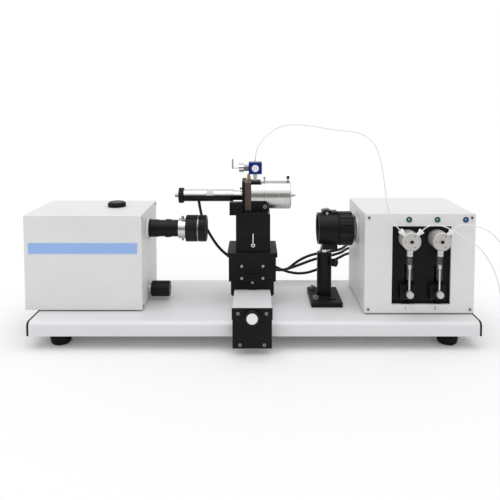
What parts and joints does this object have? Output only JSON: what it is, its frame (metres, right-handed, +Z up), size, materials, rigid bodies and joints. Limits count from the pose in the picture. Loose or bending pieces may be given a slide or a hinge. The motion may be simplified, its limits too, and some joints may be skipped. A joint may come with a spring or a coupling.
{
  "type": "surface tensiometer",
  "caption": "Drop shape tensiometer: a camera and a lamp face a measuring head on a stage between two housings, with a syringe pump, all on a flat base.",
  "frame": {"origin": "centre of the bounding box in plan, on the surface that the feet stand on, cords left out", "axes": "+X along the base from the camera housing to the pump housing, +Y away from the user, +Z up"},
  "size_m": [0.8402, 0.2684, 0.348],
  "materials": {
    "painted_silver": "satin, pale silver paint",
    "painted_pale": "fine textured pale grey paint",
    "rubber": "matte",
    "steel": "turned and polished",
    "black_anodised": "black anodised, satin",
    "blue_strip": "printed strip, satin",
    "black_plastic": "moulded, fine texture",
    "bronze": "dull brown bronze",
    "blue_cube": "deep blue anodised",
    "white_plastic": "white plastic",
    "lamp": "clear coloured lens",
    "glass": "clear glass",
    "lines": "clear fluoropolymer line",
    "cable": "black cable jacket"
  },
  "bodies": {
    "root": {"base_profile": "painted_silver", "base_end_caps": "black_plastic", "rubber_feet": "rubber", "frame_screws": "steel", "floor_plates": "black_anodised", "camera_cover": "painted_pale", "camera_side_panel": "painted_pale", "name_strip": "blue_strip", "pump_housing": "painted_pale", "pump_front_panel": "painted_pale", "drive_panel": "black_anodised", "indicator_lamps": "lamp", "valve_bodies": "steel", "valve_fittings": "white_plastic", "syringe_collars": "steel", "syringe_barrels": "glass", "light_window": "painted_pale", "rear_sockets": "black_plastic", "rail_housing": "painted_silver", "rail_front_plate": "black_anodised", "post_plate": "black_anodised", "post_holder": "black_anodised", "dosing_line": "lines", "supply_line": "lines", "waste_line": "lines", "head_cable": "cable", "stage_cable": "cable", "motor_cable": "cable"},
    "top_knob": {"top_knob": "black_plastic"},
    "sled": {"camera_sled": "black_anodised", "lens_barrel": "black_anodised"},
    "focus_drive": {"focus_knob": "black_plastic"},
    "lens_focus": {"lens_focus_ring": "black_anodised"},
    "lens_front": {"lens_front_ring": "black_anodised"},
    "carriage": {"saddle": "black_anodised", "stage_body": "black_anodised", "stage_screws": "steel", "stage_plate": "black_anodised", "tower_base": "black_anodised"},
    "stage_drive": {"stage_knob": "steel"},
    "clamp": {"clamp_lever": "steel"},
    "head": {"tower_head": "black_anodised", "clamp_plate": "black_anodised", "cell_plate": "bronze", "cell_cylinder": "steel", "head_screws": "steel", "dosing_barrel": "steel", "valve_cube": "blue_cube", "cube_fittings": "steel"},
    "barrel_drive": {"barrel_knob": "black_plastic"},
    "valve_handle": {"valve_lever": "steel"},
    "rotor_1": {"valve_rotor_1": "steel"},
    "rotor_2": {"valve_rotor_2": "steel"},
    "pump_1": {"pump_slide_1": "steel"},
    "pump_2": {"pump_slide_2": "steel"},
    "post": {"optic_post": "steel", "optic_mount": "black_anodised", "optic_lens": "glass"},
    "post_clamp": {"post_screw": "black_plastic"},
    "optic_ring": {"ribbed_ring": "black_anodised"}
  },
  "joints": [
    {"name": "sled_slide", "type": "slide", "parent": "root", "child": "sled", "axis": [1, 0, 0], "range_m": [-0.005, 0.005]},
    {"name": "focus_knob_turn", "type": "hinge", "parent": "root", "child": "focus_drive", "pos_m": [-0.16025, 0.0138, 0.0621], "axis": [1, 0, 0], "range_deg": [-1810, 1810]},
    {"name": "top_knob_turn", "type": "hinge", "parent": "root", "child": "top_knob", "pos_m": [-0.23025, 0.0308, 0.2044], "axis": [0, 0, 1], "range_deg": [-170, 170]},
    {"name": "lens_focus_turn", "type": "hinge", "parent": "sled", "child": "lens_focus", "pos_m": [-0.09725, 0.0138, 0.1679], "axis": [1, 0, 0], "range_deg": [-60, 60]},
    {"name": "lens_front_turn", "type": "hinge", "parent": "sled", "child": "lens_front", "pos_m": [-0.08025, 0.0138, 0.1679], "axis": [1, 0, 0], "range_deg": [-45, 45]},
    {"name": "stage_slide", "type": "slide", "parent": "root", "child": "carriage", "axis": [0, 1, 0], "range_m": [-0.015, 0.015], "deforming": ["dosing_line", "head_cable", "stage_cable", "motor_cable"]},
    {"name": "stage_knob_turn", "type": "hinge", "parent": "root", "child": "stage_drive", "pos_m": [0.00675, -0.1062, 0.0604], "axis": [0, 1, 0], "range_deg": [-2710, 2710]},
    {"name": "clamp_turn", "type": "hinge", "parent": "carriage", "child": "clamp", "pos_m": [0.00795, -0.0262, 0.1492], "axis": [0, 1, 0], "range_deg": [0, 90]},
    {"name": "tower_slide", "type": "slide", "parent": "carriage", "child": "head", "axis": [0, 0, 1], "range_m": [0, 0.01], "deforming": ["dosing_line", "head_cable"]},
    {"name": "barrel_knob_turn", "type": "hinge", "parent": "head", "child": "barrel_drive", "pos_m": [-0.11425, 0.0138, 0.2249], "axis": [1, 0, 0], "range_deg": [-180, 180]},
    {"name": "valve_lever_turn", "type": "hinge", "parent": "head", "child": "valve_handle", "pos_m": [-0.01025, 0.0138, 0.2724], "axis": [1, 0, 0], "range_deg": [-90, 90]},
    {"name": "rotor_1_turn", "type": "hinge", "parent": "root", "child": "rotor_1", "pos_m": [0.25535, -0.0662, 0.1672], "axis": [0, 1, 0], "range_deg": [-60, 60]},
    {"name": "rotor_2_turn", "type": "hinge", "parent": "root", "child": "rotor_2", "pos_m": [0.30285, -0.0662, 0.1672], "axis": [0, 1, 0], "range_deg": [-60, 60]},
    {"name": "plunger_1_slide", "type": "slide", "parent": "root", "child": "pump_1", "axis": [0, 0, 1], "range_m": [-0.008, 0.014]},
    {"name": "plunger_2_slide", "type": "slide", "parent": "root", "child": "pump_2", "axis": [0, 0, 1], "range_m": [-0.008, 0.014]},
    {"name": "post_slide", "type": "slide", "parent": "root", "child": "post", "axis": [0, 0, 1], "range_m": [0, 0.02]},
    {"name": "post_screw_turn", "type": "hinge", "parent": "root", "child": "post_clamp", "pos_m": [0.13075, 0.0138, 0.1114], "axis": [0.766, -0.6428, 0], "range_deg": [0, 360]},
    {"name": "ribbed_ring_turn", "type": "hinge", "parent": "post", "child": "optic_ring", "pos_m": [0.16975, 0.0138, 0.1679], "axis": [1, 0, 0], "range_deg": [-60, 60]}
  ],
  "couplings": [
    {"joint": "focus_knob_turn", "follows": "sled_slide", "rad_per_m": 6283.2},
    {"joint": "stage_knob_turn", "follows": "stage_slide", "rad_per_m": 3141.6}
  ]
}
